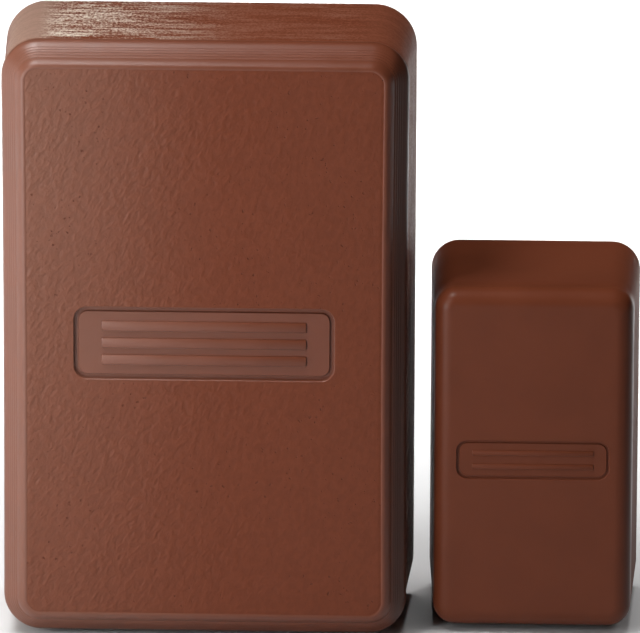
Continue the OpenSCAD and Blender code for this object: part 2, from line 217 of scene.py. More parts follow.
def round_ring(at, r, h, steps=40, upright=False):
    """A circle of points whose middle is h in front of at, or above it."""
    ring = []
    for k in range(steps):
        a = 2 * math.pi * k / steps
        across, along = r * math.cos(a), r * math.sin(a)
        ring.append(Vector(at) + Vector((across, along, h) if upright else (across, -h, along)))
    return ring


def turned(name, profile, at, upright=False, steps=40):
    """A turned form from (radius, height) points; height runs to the front from at, or upwards."""
    bm = bmesh.new()
    loft(bm, [round_ring(at, r, h, steps, upright) for r, h in profile])
    return finish_mesh(bm, name)


def tube(name, at, outer, inner, height, bevel=0.12):
    """A short tube that grows to the front from at, with soft edges."""
    bm = bmesh.new()
    profile = [(inner, 0), (outer, 0), (outer, height - bevel), (outer - bevel, height),
               (inner + bevel, height), (inner, height - bevel), (inner, 0)]
    loft(bm, [round_ring(at, r, h) for r, h in profile], close_start=False, close_end=False)
    bmesh.ops.remove_doubles(bm, verts=bm.verts, dist=1e-7)
    return finish_mesh(bm, name)


def cut(piece, tools):
    """Takes the tools away from the piece with exact booleans, and deletes them."""
    for tool in tools:
        step = piece.modifiers.new("cut", "BOOLEAN")
        step.operation = "DIFFERENCE"
        step.solver = "EXACT"
        step.object = tool
    shape = piece.evaluated_get(bpy.context.evaluated_depsgraph_get())
    mesh = bpy.data.meshes.new_from_object(shape)
    piece.modifiers.clear()
    piece.data = mesh
    for tool in tools:
        bpy.data.objects.remove(tool)
    smooth_shading(mesh)


def join(name, parts, indices=None):
    """Joins pieces into one; indices gives each one's material index where it isn't kept."""
    bm = bmesh.new()
    for i, part in enumerate(parts):
        before = len(bm.faces)
        bm.from_mesh(part.data)
        bm.faces.ensure_lookup_table()
        if indices and indices[i] is not None:
            for face in bm.faces[before:]:
                face.material_index = indices[i]
        bpy.data.objects.remove(part)
    return piece_from(bm, name)


def place_piece(piece, body, materials, replaces=None):
    """Gives a piece its materials, hides the CAD node that it replaces, and attaches it to the body that it
    rides on.
    """
    for key in materials:
        piece.data.materials.append(MATERIALS[key])
    if replaces:
        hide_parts(replaces)
    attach(piece, body)


# ---------------------------------------------------------------- materials


class Nodes:
    """A short way to wire a material's nodes."""

    def __init__(self, name, **values):
        self.material = bpy.data.materials.new(name)
        self.material.use_nodes = True
        self.tree = self.material.node_tree
        self.shader = self.tree.nodes["Principled BSDF"]
        for key, value in values.items():
            self.shader.inputs[key.replace("_", " ").title().replace("Ior", "IOR")].default_value = value

    def add(self, kind, **settings):
        node = self.tree.nodes.new(kind)
        for key, value in settings.items():
            setattr(node, key, value)
        return node

    def link(self, a, b):
        self.tree.links.new(a, self.shader.inputs[b] if isinstance(b, str) else b)

    def place(self, stretch=(1, 1, 1), turn=(0, 0, 0)):
        """Object coordinates in millimetres, turned and then stretched."""
        coords = self.add("ShaderNodeTexCoord")
        mapping = self.add("ShaderNodeMapping", vector_type="TEXTURE")
        mapping.inputs["Scale"].default_value = [s * MM for s in stretch]
        mapping.inputs["Rotation"].default_value = [math.radians(t) for t in turn]
        self.link(coords.outputs["Object"], mapping.inputs["Vector"])
        return mapping.outputs["Vector"]

    def axes(self, where):
        node = self.add("ShaderNodeSeparateXYZ")
        self.link(where, node.inputs["Vector"])
        return node.outputs["X"], node.outputs["Y"], node.outputs["Z"]

    def noise(self, where, scale, detail=2.0, rough=0.5, distortion=0.0):
        node = self.add("ShaderNodeTexNoise")
        node.inputs["Scale"].default_value = scale
        node.inputs["Detail"].default_value = detail
        node.inputs["Roughness"].default_value = rough
        node.inputs["Distortion"].default_value = distortion
        self.link(where, node.inputs["Vector"])
        return node.outputs["Fac"]

    def cells(self, where, scale):
        node = self.add("ShaderNodeTexVoronoi")
        node.inputs["Scale"].default_value = scale
        self.link(where, node.inputs["Vector"])
        return node.outputs["Distance"]

    def ramp(self, value, start, end, low=0.0, high=1.0):
        """Maps value from start..end to low..high, clamped."""
        node = self.add("ShaderNodeMapRange", interpolation_type="SMOOTHSTEP")
        for key, number in (("From Min", start), ("From Max", end), ("To Min", low), ("To Max", high)):
            node.inputs[key].default_value = number
        self.link(value, node.inputs["Value"])
        return node.outputs["Result"]

    def calc(self, operation, *values):
        node = self.add("ShaderNodeMath", operation=operation)
        for socket, value in zip(node.inputs, values):
            if isinstance(value, (int, float)):
                socket.default_value = value
            else:
                self.link(value, socket)
        return node.outputs["Value"]

    def blend(self, value, one, two):
        """Mixes two colours, or a colour into an earlier mix."""
        node = self.add("ShaderNodeMix", data_type="RGBA")
        for socket, colour in ((node.inputs[6], one), (node.inputs[7], two)):
            if isinstance(colour, tuple):
                socket.default_value = (*colour, 1)
            else:
                self.link(colour, socket)
        self.link(value, node.inputs["Factor"])
        return node.outputs[2]

    def bump(self, height, distance):
        """height is 0 to 1 and stands for that distance in millimetres."""
        node = self.add("ShaderNodeBump")
        node.inputs["Distance"].default_value = distance * MM
        self.link(height, node.inputs["Height"])
        self.link(node.outputs["Normal"], "Normal")


BROWN = (0.125, 0.0318, 0.0140)
PALE_SCUFF_AND_SHEEN = (0.64, 0.57, 0.47)              # pale plastic for scuff marks, and for painted sheen


def shade(colour, factor):
    """A colour made darker or lighter."""
    return tuple(min(1.0, c * factor) for c in colour)


def grained_face(name, colour):
    """Flat face of the lid: soft slanting leather grain, painted sheen of pale plastic on the left and
    towards the top, sparse pits.
    """
    m = Nodes(name, specular_ior_level=0.14)
    slanted = m.place((0.85, 1, 1.3), (0, 30, 0))
    plain = m.place()
    x, _, z = m.axes(plain)
    grain = m.noise(slanted, 1.6, 2.0, 0.45, 0.2)
    patches = m.noise(plain, 0.11, 2.0, 0.5)
    pits = m.calc("MULTIPLY", m.ramp(m.noise(plain, 2.6, 1.0, 0.4), 0.70, 0.80), m.ramp(patches, 0.42, 0.6))
    brown = m.blend(m.ramp(grain, 0.3, 0.7), shade(colour, 0.93), shade(colour, 1.05))
    # painted sheen: pale plastic mixed in, strongest at the left edge and towards the top
    painted_sheen = m.calc("MULTIPLY", m.ramp(x, -22, 4, 0.068, 0.0), m.ramp(z, -32, 28, 0.4, 1.0))
    m.link(m.blend(pits, m.blend(painted_sheen, brown, PALE_SCUFF_AND_SHEEN), shade(colour, 0.72)), "Base Color")
    m.link(m.ramp(patches, 0.35, 0.65, 0.40, 0.48), "Roughness")
    even = m.calc("MULTIPLY", m.ramp(patches, 0.3, 0.7, 1.0, 0.6), m.ramp(x, -14, 16, 1.0, 0.35))
    m.bump(m.calc("SUBTRACT", m.calc("MULTIPLY", grain, even), m.calc("MULTIPLY", pits, 0.3)), 0.17)
    return m.material


BEYOND = 200.0                         # a place past the whole object, which turns a change off


def satin_plastic(name, colour, rough, fine=0.003, shine=0.3, painted_sheen=0.0, matt_from=BEYOND, painted_shade_from=BEYOND):
    """Satin moulded plastic with faint clouds of gloss, and painted sheen of pale plastic on the left.

    Behind matt_from it is more matt. The bevel gets painted shade, a much darker brown, to the right of the x
    given for it and in front of matt_from.
    """
    m = Nodes(name, specular_ior_level=shine)
    where = m.place()
    x, y, _ = m.axes(where)
    cloud = m.ramp(m.noise(where, 0.25, 3.0, 0.55), 0.3, 0.7)
    brown = m.blend(cloud, shade(colour, 0.96), shade(colour, 1.04))
    # painted shade: the right-hand bevel is darkened towards a deep brown
    bevel = m.calc("MULTIPLY", m.ramp(x, painted_shade_from, painted_shade_from + 1.2),
                   m.ramp(y, matt_from - 1, matt_from, 0.62, 0))
    # painted sheen: pale plastic mixed in, fading from the left towards the right
    with_painted_sheen = m.blend(m.ramp(x, -22, 12, painted_sheen, painted_sheen * 0.15), brown, PALE_SCUFF_AND_SHEEN)
    m.link(m.blend(bevel, with_painted_sheen, shade(colour, 0.1)), "Base Color")
    matt = m.ramp(y, matt_from, matt_from + 3, 0.0, 0.3)
    m.link(m.calc("ADD", m.ramp(cloud, 0, 1, *rough), matt), "Roughness")
    m.bump(m.noise(where, 8.0, 2.0, 0.6), fine)
    return m.material


def striated_walls(name, colour):
    """Base walls: fine pale broken scuff lines, with painted sheen that crowds them on the left of both ends;
    smooth corners.
    """
    m = Nodes(name, specular_ior_level=0.1)
    lines = m.noise(m.place((5.0, 0.65, 5.0)), 1.0, 3.0, 0.65, 0.2)
    specks = m.noise(m.place((0.26, 0.42, 0.26)), 1.0, 2.0, 0.65)
    x, y, z = m.axes(m.place())
    from_x = m.calc("SUBTRACT", m.calc("ABSOLUTE", x), LID_HALF.x - LID_CORNER - 0.2)
    from_z = m.calc("SUBTRACT", m.calc("ABSOLUTE", z), LID_HALF.z - LID_CORNER - 0.2)
    smooth = m.ramp(m.calc("MINIMUM", from_x, from_z), -2.0, 1.0)
    mixed = m.calc("ADD", m.calc("MULTIPLY", lines, 0.55), m.calc("MULTIPLY", specks, 0.45))
    marks = m.calc("ADD", m.calc("MULTIPLY", m.ramp(mixed, 0.42, 0.66), m.calc("SUBTRACT", 1.0, smooth)),
                   m.calc("MULTIPLY", smooth, 0.22))
    on_wall = m.ramp(y, -0.35, -0.15, 1.0, 0.0)
    at_end = m.ramp(m.calc("ABSOLUTE", z), LID_HALF.z - LID_CORNER, LID_HALF.z - 1.5)
    # painted sheen: on the top and bottom walls the pale marks grow much stronger to the left; the sides keep
    # a weaker even share of scuffs
    sheen_and_wear = m.calc("ADD", m.calc("MULTIPLY", at_end, m.ramp(x, -17, 5, 1.0, 0.06)),
                  m.calc("MULTIPLY", m.calc("SUBTRACT", 1.0, at_end), 0.2))
    scuff_and_sheen = m.calc("MULTIPLY", m.calc("MULTIPLY", marks, on_wall), sheen_and_wear)
    brown = m.blend(m.ramp(mixed, 0.35, 0.65), shade(colour, 0.85), shade(colour, 1.12))
    m.link(m.blend(scuff_and_sheen, brown, PALE_SCUFF_AND_SHEEN), "Base Color")
    m.link(m.ramp(mixed, 0.35, 0.65, 0.62, 0.50), "Roughness")
    m.bump(m.calc("MULTIPLY", mixed, m.calc("SUBTRACT", 1.0, smooth)), 0.14)
    return m.material


def moulded(name, colour, rough, spread=0.08, **values):
    """A plain moulded part: slightly uneven colour, gloss and surface."""
    m = Nodes(name, **values)
    where = m.place()
    cloud = m.noise(where, 1.5, 3.0, 0.6)
    uneven = m.blend(m.ramp(cloud, 0.3, 0.7), shade(colour, 1 - spread), shade(colour, 1 + spread))
    m.link(uneven, "Base Color")
    m.link(m.ramp(cloud, 0.3, 0.7, rough - 0.05, rough + 0.05), "Roughness")
    m.bump(m.noise(where, 6.0, 2.0, 0.6), 0.01)
    return m.material


def metal(name, colour, rough=0.3, stretch=(1, 1, 1), scratch=0.01):
    """Metal with drawn or rolled lines along the stretched axis and a patchy sheen."""
    m = Nodes(name, metallic=1.0)
    lines = m.noise(m.place(stretch), 4.0, 3.0, 0.6)
    cloud = m.noise(m.place(), 0.6, 2.0, 0.5)
    m.link(m.blend(m.ramp(cloud, 0.3, 0.7), shade(colour, 0.88), colour), "Base Color")
    m.link(m.ramp(lines, 0.3, 0.7, rough - 0.08, rough + 0.08), "Roughness")
    m.bump(lines, scratch)
    return m.material


def board_green():
    """Circuit board: glossy green mask over orthogonal copper tracks, bare laminate at the edges."""
    m = Nodes("board_laminate", specular_ior_level=0.5)
    x, _, z = m.axes(m.place())
    across = m.ramp(m.noise(m.place((1.2, 4, 9.0)), 1.0, 0.0), 0.50, 0.53)
    along = m.ramp(m.noise(m.place((9.0, 4, 1.2)), 1.0, 0.0), 0.50, 0.53)
    tracks = []
    for axis, mask in ((x, along), (z, across)):
        phase = m.calc("ABSOLUTE", m.calc("SUBTRACT", m.calc("FRACT", m.calc("MULTIPLY", axis, 0.8)), 0.5))
        tracks.append(m.calc("MULTIPLY", m.ramp(phase, 0.13, 0.18, 1.0, 0.0), mask))
    copper = m.calc("MAXIMUM", *tracks)
    mask_colour = m.blend(copper, (0.010, 0.085, 0.030), (0.026, 0.17, 0.055))
    geometry = m.add("ShaderNodeNewGeometry")
    _, facing, _ = m.axes(geometry.outputs["Normal"])
    edge = m.ramp(m.calc("ABSOLUTE", facing), 0.4, 0.6, 1.0, 0.0)
    m.link(m.blend(edge, mask_colour, (0.30, 0.27, 0.11)), "Base Color")
    m.link(m.ramp(edge, 0, 1, 0.22, 0.75), "Roughness")
    m.bump(copper, 0.03)
    return m.material


def cell_wrap():
    """Battery: printed sleeve with a pale band, open to the nickel can at both ends."""
    low, high = node_box("battery_cell")
    m = Nodes("battery_sleeve", specular_ior_level=0.5)
    where = m.place()
    _, _, z = m.axes(where)
    rub = m.noise(where, 1.2, 3.0, 0.6)
    band = m.calc("MULTIPLY", m.ramp(z, high.z - 7.6, high.z - 7.5),
                  m.ramp(z, high.z - 4.6, high.z - 4.5, 1, 0))
    sleeve = m.blend(band, m.blend(m.ramp(rub, 0.3, 0.7), (0.012, 0.045, 0.15), (0.016, 0.060, 0.19)),
                     (0.62, 0.62, 0.58))
    ends = m.calc("MAXIMUM", m.ramp(z, low.z + 0.35, low.z + 0.45, 1, 0),
                  m.ramp(z, high.z - 1.35, high.z - 1.25))
    m.link(m.blend(ends, sleeve, (0.62, 0.61, 0.58)), "Base Color")
    m.link(ends, "Metallic")
    m.link(m.ramp(rub, 0.3, 0.7, 0.24, 0.34), "Roughness")
    m.bump(m.calc("ADD", m.calc("MULTIPLY", rub, 0.15), m.calc("MULTIPLY", ends, -0.8)), 0.08)
    return m.material


def chip_package():
    """Controller: matt epoxy with a dot at pin one, and tinned leads round it."""
    mid = middle("controller_chip")
    m = Nodes("chip_package")
    where = m.place()
    x, _, z = m.axes(where)
    from_x = m.calc("ABSOLUTE", m.calc("SUBTRACT", x, mid.x))
    from_z = m.calc("ABSOLUTE", m.calc("SUBTRACT", z, mid.z))
    leads = m.ramp(m.calc("MAXIMUM", from_x, from_z), 3.30, 3.32)
    dot_x = m.calc("POWER", m.calc("SUBTRACT", x, mid.x - 2.4), 2)
    dot_z = m.calc("POWER", m.calc("SUBTRACT", z, mid.z + 2.4), 2)
    dot = m.ramp(m.calc("ADD", dot_x, dot_z), 0.12, 0.16, 1, 0)
    grit = m.noise(where, 9.0, 2.0, 0.6)
    epoxy = m.blend(m.ramp(grit, 0.3, 0.7), (0.011, 0.011, 0.012), (0.022, 0.022, 0.024))
    m.link(m.blend(leads, m.blend(dot, epoxy, (0.05, 0.05, 0.05)), (0.68, 0.67, 0.64)), "Base Color")
    m.link(leads, "Metallic")
    m.link(m.ramp(leads, 0, 1, 0.55, 0.28), "Roughness")
    m.bump(m.calc("SUBTRACT", m.calc("MULTIPLY", grit, 0.3), dot), 0.04)
    return m.material


def clear_glass():
    """Drawn glass tube with a faint green tint and soft waves."""
    m = Nodes("reed_glass_tube", transmission_weight=0.9, ior=1.5, roughness=0.04)
    where = m.place((1, 1, 4))
    waves = m.noise(where, 0.8, 1.0, 0.5)
    m.link(m.blend(waves, (0.62, 0.86, 0.68), (0.74, 0.93, 0.80)), "Base Color")
    m.bump(waves, 0.01)
    return m.material


def open_foam():
    """Foam pad: open pores of several sizes."""
    m = Nodes("foam_open_cell", specular_ior_level=0.2)
    where = m.place()
    pores = m.cells(where, 2.2)
    m.link(m.blend(m.ramp(pores, 0.1, 0.6), (0.018, 0.018, 0.019), (0.075, 0.075, 0.078)), "Base Color")
    m.link(m.ramp(pores, 0.1, 0.6, 0.98, 0.85), "Roughness")
    m.bump(m.calc("ADD", m.calc("MULTIPLY", pores, 0.7), m.calc("MULTIPLY", m.noise(where, 5.0), 0.3)), 0.25)
    return m.material


def make_materials():
    """Every material, by the name that the pieces below use."""
    steel, nickel, tin = (0.60, 0.59, 0.57), (0.66, 0.63, 0.58), (0.72, 0.72, 0.72)
    return {
        "lid_face": grained_face("plastic_lid_face", BROWN),
        "lid_border": satin_plastic("plastic_lid_border", BROWN, (0.34, 0.42), shine=0.36, painted_sheen=0.045,
                                    painted_shade_from=LID_HALF.x - 2.2),
        # painted light: the walls' brown is lightened by 1.15 so they read brighter
        "base_wall": striated_walls("plastic_base_walls", shade(BROWN, 1.15)),
        "inside": satin_plastic("plastic_inside", shade(BROWN, 0.9), (0.48, 0.58), 0.01),
        # painted shade: the cover's brown is darkened by 0.94
        "cover": satin_plastic("plastic_magnet_cover", shade(BROWN, 0.94), (0.32, 0.36), shine=0.16,
                               matt_from=COVER_LOW.y + 1.9, painted_shade_from=COVER_HIGH.x - 1.7),
        "board": board_green(),
        "print": moulded("board_print", (0.72, 0.72, 0.68), 0.6),
        "sleeve": cell_wrap(),
        "nickel_sheet": metal("nickel_sheet", nickel, 0.32, (1, 1, 8)),
        "spring_wire": metal("spring_wire", steel, 0.26),
        "zinc_screw": metal("zinc_screw", (0.66, 0.66, 0.64), 0.34),
        "solder": metal("solder", tin, 0.24, scratch=0.004),
        "tinned_shield": metal("tinned_shield", tin, 0.36, (6, 1, 1), 0.006),
        "drawn_can": metal("drawn_can", tin, 0.24, (1, 8, 1), 0.004),
        "gold_pins": metal("gold_pins", (0.83, 0.58, 0.22), 0.26),
        "copper_wire": metal("enamelled_copper", (0.68, 0.27, 0.11), 0.24),
        "reed_metal": metal("reed_alloy", (0.56, 0.53, 0.48), 0.34, (1, 1, 6)),
        "magnet_metal": metal("magnet_plating", (0.46, 0.46, 0.47), 0.38, scratch=0.02),
        "glass": clear_glass(),
        "black": moulded("plastic_black", (0.017, 0.017, 0.018), 0.42),
        "black_gloss": moulded("plastic_button", (0.013, 0.013, 0.014), 0.3),
        "ivory": moulded("plastic_ivory", (0.66, 0.60, 0.46), 0.4, 0.04),
        "terminal": moulded("plastic_terminal", (0.020, 0.13, 0.055), 0.38),
        "lens": moulded("led_epoxy", (0.55, 0.012, 0.010), 0.14, 0.03, transmission_weight=0.35),
        "ceramic": moulded("smd_ceramic", (0.36, 0.22, 0.11), 0.5),
        "resistor": moulded("smd_resistor", (0.014, 0.014, 0.016), 0.3),
        "chip": chip_package(),
        "can_sleeve": moulded("capacitor_base", (0.013, 0.013, 0.015), 0.4),
        "foam": open_foam(),
    }


# ---------------------------------------------------------------- transmitter housing


def border_profile(steps=4, ridges=5, ridge=0.05):
    """(inset, rise) points of the lid's border: soft rim edge, bevel with fine ridges, soft front edge."""
    side_r, front_r = 0.97, 0.6
    points = []
    for i in range(steps + 1):
        a = math.radians(45 * i / steps)
        points.append((side_r * (1 - math.cos(a)), side_r * math.sin(a) - 0.25))
    start = points[-1]
    end = (BORDER_INSET - front_r * math.sin(math.radians(45)),
           BORDER_RISE - front_r * (1 - math.cos(math.radians(45))))
    per_ridge = 4
    for i in range(1, ridges * per_ridge + 1):
        share = 0.10 + 0.62 * i / (ridges * per_ridge)
        phase = i % per_ridge / per_ridge
        dip = ridge * (0.3 + share) * (0.0, 0.45, 0.9, 1.0)[int(phase * per_ridge)]
        across = start[0] + (end[0] - start[0]) * share
        points.append((across + dip * 0.7, start[1] + (end[1] - start[1]) * share - dip * 0.7))
    for i in range(1, steps + 1):
        a = math.radians(45 * (1 - i / steps))
        points.append((BORDER_INSET - front_r * math.sin(a), BORDER_RISE - front_r * (1 - math.cos(a))))
    return points


def label_rings(half_x, half_z, y, depth, width=1.0, mid=(0.0, 0.0)):
    """Rings of a blank name plate: a rounded groove round a field that lies below the face."""
    shape = ((0.95, 0.0), (0.62, 0.0), (0.55, 0.12), (0.48, 0.95),
             (0.28, 1.0), (0.10, 0.95), (0.04, 0.6), (0.0, 0.5))
    return [outline(half_x + grow * width, half_z + grow * width, 0.9 + grow * width,
                    y + depth * share, mid=mid) for grow, share in shape]


def label_ribs(half_x, y, rows, width, height, mid=(0.0, 0.0)):
    """Plain raised ribs on the blank name plate, in place of a mark."""
    return [box_mesh(f"rib_{i}", (mid[0] - half_x, y, mid[1] + z - width / 2),
                     (mid[0] + half_x, y + 2 * height, mid[1] + z + width / 2), height * 0.9)
            for i, z in enumerate(rows)]


def make_lid():
    """Front lid: ridged border, grained face with a blank name plate, skirt, hooks and post."""
    rings = [outline(LID_HALF.x - 0.12, LID_HALF.z - 0.12, LID_CORNER - 0.12, RIM_Y, LID_BOW),
             outline(LID_HALF.x, LID_HALF.z, LID_CORNER, RIM_Y - 0.1, LID_BOW)]
    for d, rise in border_profile():
        rings.append(outline(LID_HALF.x - d, LID_HALF.z - d, LID_CORNER - d,
                             RIM_Y - RIM_H - rise, LID_BOW))
    border = len(rings)
    groove = ((0.05, 0.0), (0.12, 0.035), (0.20, 0.035), (0.30, 0.015), (0.6, 0.015))
    for d, dip in groove:
        inset = BORDER_INSET + d
        rings.append(outline(LID_HALF.x - inset, LID_HALF.z - inset, LID_CORNER - inset,
                             FRONT_Y + dip, LID_BOW))
    rings += label_rings(*LID_PLATE, FRONT_Y + 0.015, 0.5)
    bm = bmesh.new()
    plate = border + len(groove) + 1
    front = loft(bm, rings, close_start=False, material=lambda b: 1 if border < b < plate else 0)
    inner = [outline(SKIRT_HALF.x, SKIRT_HALF.z, 2.05, RIM_Y),
             outline(SKIRT_HALF.x, SKIRT_HALF.z, 2.05, SKIRT_Y - 0.15),
             outline(SKIRT_HALF.x - 0.15, SKIRT_HALF.z - 0.15, 1.9, SKIRT_Y),
             outline(SKIRT_HALF.x - SKIRT_T, SKIRT_HALF.z - SKIRT_T, 1.35, SKIRT_Y),
             outline(SKIRT_HALF.x - SKIRT_T, SKIRT_HALF.z - SKIRT_T, 1.35, FRONT_Y + LID_FACE_T + 0.2),
             outline(SKIRT_HALF.x - SKIRT_T - 0.2, SKIRT_HALF.z - SKIRT_T - 0.2, 1.15, FRONT_Y + LID_FACE_T)]
    back = loft(bm, inner, close_start=False, material=lambda b: 2)
    bridge(bm, front[0], back[0])
    shell = finish_mesh(bm, "lid_shell", 30)
    cut(shell, [box_mesh("window", (-2.9, RIM_Y + 1.2, -31), (2.9, RIM_Y + 2.5, -29))])
    inner_y = FRONT_Y + LID_FACE_T
    plunger = middle("tamper_plunger")
    post_h = node_box("tamper_plunger")[0].y - 0.1 - inner_y
    parts = [shell, *label_ribs(10.9, FRONT_Y + 0.02, (-1.85, 0.0, 1.85), 1.15, 0.24)]
    kinds = [None, 0, 0, 0]
    for side in (-1, 1):
        parts.append(box_mesh(f"hook_{side}", (side * HOOK_X - 2, SKIRT_Y - 0.6, SKIRT_HALF.z - 1),
                              (side * HOOK_X + 2, SKIRT_Y + 0.4, BASE_INNER.z + 0.6), 0.12))
        parts.append(box_mesh(f"stiffener_{side}", (side * 7 - 0.5, inner_y - 0.3, -26),
                              (side * 7 + 0.5, inner_y + 0.5, 26), 0.15))
    for x, z in ((-15, 26), (15, 26), (-15, -26), (15, -26), (0, 0)):
        parts.append(turned(f"ejector_{x}_{z}", [(1.6, 0.3), (1.6, -0.06), (1.5, -0.1)], (x, inner_y, z)))
    parts.append(turned("post", [(2.9, 0.2), (2.9, 0), (2.35, -0.35), (2.2, -0.6), (2.2, 0.12 - post_h),
                                 (2.08, -post_h), (0.8, -post_h), (0.7, 0.1 - post_h), (0.65, 0.9 - post_h)],
                        (plunger.x, inner_y, plunger.z)))
    kinds += [2] * (len(parts) - len(kinds))
    lid = join("lid_front", parts, kinds)
    place_piece(lid, "lid", ("lid_border", "lid_face", "inside"), "transmitter_lid")


def make_base():
    """Rear housing: flared striated walls, and inside its floor, posts and cell saddles."""
    half = Vector((LID_HALF.x - BASE_INSET, 0, LID_HALF.z - BASE_INSET))

    def wall_ring(share, extra=0.0):
        g = BASE_FLARE * (1 - share) - extra
        return outline(half.x + g, half.z + g, BASE_CORNER + g, BASE_FRONT_Y * share)

    rings = [wall_ring(0.0, 2.6), wall_ring(0.0, 0.3), wall_ring(0.006, 0.1), wall_ring(0.02)]
    rings += [wall_ring(0.02 + 0.965 * k / 12) for k in range(1, 13)]
    rings.append(wall_ring(1.0, 0.15))
    inner = [outline(BASE_INNER.x, BASE_INNER.z, 2.25, BASE_FRONT_Y),
             outline(BASE_INNER.x, BASE_INNER.z, 2.25, FLOOR_Y - 0.3),
             outline(BASE_INNER.x - 0.3, BASE_INNER.z - 0.3, 1.95, FLOOR_Y)]
    bm = bmesh.new()
    loft(bm, rings + inner, material=lambda b: 0 if 1 <= b < len(rings) - 1 else 1)
    shell = finish_mesh(bm, "base_shell", 40)
    tools = [box_mesh("release_slot", (-3, RIM_Y + 1.1, -34), (3, RIM_Y + 2.7, -29.6)),
             turned("knockout", [(2.5, 0), (2.5, 1.1)], (*CABLE_KNOCKOUT, BASE_LOW.z - 0.1), upright=True)]
    for side in (-1, 1):
        tools.append(turned(f"hole_{side}", [(2.15, 1), (2.15, 0.0), (1.9, -0.25), (1.9, -3)][::-1],
                            (0, 0, side * WALL_SCREW_Z)))
        tools.append(box_mesh(f"pocket_{side}", (side * HOOK_X - 2.5, SKIRT_Y - 1.2, 29.5),
                              (side * HOOK_X + 2.5, SKIRT_Y + 1, BASE_INNER.z + 0.9)))
    tools += [tube(f"rear_panel_{side}", (0, 0.2, side * WALL_SCREW_Z), 5.6, 5.2, 0.35, 0.02)
              for side in (-1, 1)]
    tools += [turned(f"rear_mark_{x}_{z}", [(1.7, 0.12), (1.7, -0.5)], (x, 0, z))
              for x, z in ((-16, 27), (16, 27), (-16, -27), (16, -27))]
    cut(shell, tools)
    parts = [tube(f"ring_{side}", (0, FLOOR_Y + 0.2, side * WALL_SCREW_Z), 3.4, 1.9, 1.2) for side in (-1, 1)]
    parts += [tube(f"post_{i}", (x, FLOOR_Y + 0.2, z), 2.3, 0.85, FLOOR_Y + 0.2 - BOARD_HIGH.y)
              for i, (x, z) in enumerate(BOARD_SCREWS)]
    parts += [saddle(f"saddle_{i}", z) for i, z in enumerate((-17, -2))]
    base = join("base_housing", [shell, *parts], [None] + [1] * len(parts))
    place_piece(base, "transmitter", ("base_wall", "inside"), "transmitter_base")


def saddle(name, z):
    """A rib of the base with the round seat of the battery cell."""
    low, high = node_box("battery_cell")
    mid = (low + high) / 2
    seat_r = (high.x - low.x) / 2 + 0.15
    top = -6.0
    x0, x1 = mid.x - 7.5, -4.5
    reach = math.sqrt(seat_r ** 2 - (top - mid.y) ** 2)
    start = math.atan2(top - mid.y, -min(reach, mid.x - x0 - 0.01))
    end = math.atan2(top - mid.y, min(reach, x1 - mid.x))
    points = [(x0, FLOOR_Y + 0.2), (x0, top)]
    for k in range(21):
        a = start + (end - start) * k / 20
        points.append((mid.x + seat_r * math.cos(a), mid.y + seat_r * math.sin(a)))
    points += [(x1, top), (x1, FLOOR_Y + 0.2)]
    bm = bmesh.new()
    loft(bm, [[Vector((x, y, z + side)) for x, y in points] for side in (-1, 1)])
    return finish_mesh(bm, name)


# ---------------------------------------------------------------- magnet housing


def make_cover():
    """Magnet cover: one smooth drafted cap with a soft front edge and a blank name plate."""
    mid = (COVER_MID.x, COVER_MID.z)
    front, back = COVER_LOW.y, COVER_HIGH.y
    wall_end = front + COVER_ROUND

    def wall_ring(share, extra=0.0):
        g = COVER_FLARE * (1 - share) - extra
        return outline(COVER_HALF.x + g, COVER_HALF.z + g, COVER_CORNER + g,
                       back + (wall_end - back) * share, mid=mid)

    rings = [wall_ring(0.0, 0.2), wall_ring(0.012)]
    rings += [wall_ring(0.012 + 0.988 * k / 8) for k in range(1, 9)]
    inset = COVER_ROUND + 0.1
    for k in range(1, 17):
        a = math.radians(90 * k / 16)
        d = inset * (1 - math.cos(a))
        rings.append(outline(COVER_HALF.x - d, COVER_HALF.z - d, COVER_CORNER - d,
                             wall_end - COVER_ROUND * math.sin(a), mid=mid))
    rings.append(outline(COVER_HALF.x - inset - 0.15, COVER_HALF.z - inset - 0.15, 0.4, front, mid=mid))
    rings += label_rings(*COVER_PLATE, front, 0.30, 0.6, mid)
    bm = bmesh.new()
    outer = loft(bm, rings, close_start=False)
    inner_r = COVER_CORNER - WALL
    inner = [outline(COVER_HALF.x + COVER_FLARE - WALL, COVER_HALF.z + COVER_FLARE - WALL,
                     inner_r + COVER_FLARE, back, mid=mid),
             outline(COVER_HALF.x - WALL, COVER_HALF.z - WALL, inner_r, front + 2.0, mid=mid),
             outline(COVER_HALF.x - WALL - 0.2, COVER_HALF.z - WALL - 0.2, inner_r - 0.2,
                     front + 1.8, mid=mid)]
    inside = loft(bm, inner, close_start=False, material=lambda b: 1)
    bridge(bm, outer[0], inside[0])
    shell = finish_mesh(bm, "cover_shell", 40)
    cut(shell, [box_mesh("notch", (mid[0] - 3, back - 1.1, COVER_LOW.z - 1),
                         (mid[0] + 3, back + 1, COVER_LOW.z + 3))])
    ribs = label_ribs(6.5, front + 0.02, (-0.75, 0.75), 0.62, 0.14, mid)
    cover = join("magnet_cap", [shell, *ribs], [None, 0, 0])
    place_piece(cover, "magnet_cover", ("cover", "inside"), "magnet_cover")


# ---------------------------------------------------------------- inside the transmitter


def screw_places():
    """[x, z] of each board screw, from the separate islands of its CAD node."""
    groups = []
    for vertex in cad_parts["board_screws"].data.vertices:
        p = Vector((vertex.co.x, vertex.co.z)) / MM
        for group in groups:
            if (group[0] - p).length < 5:
                group.append(p)
                break
        else:
            groups.append([p])
    places = []
    for group in groups:
        xs, zs = [p.x for p in group], [p.y for p in group]
        places.append(((min(xs) + max(xs)) / 2, (min(zs) + max(zs)) / 2))
    return places


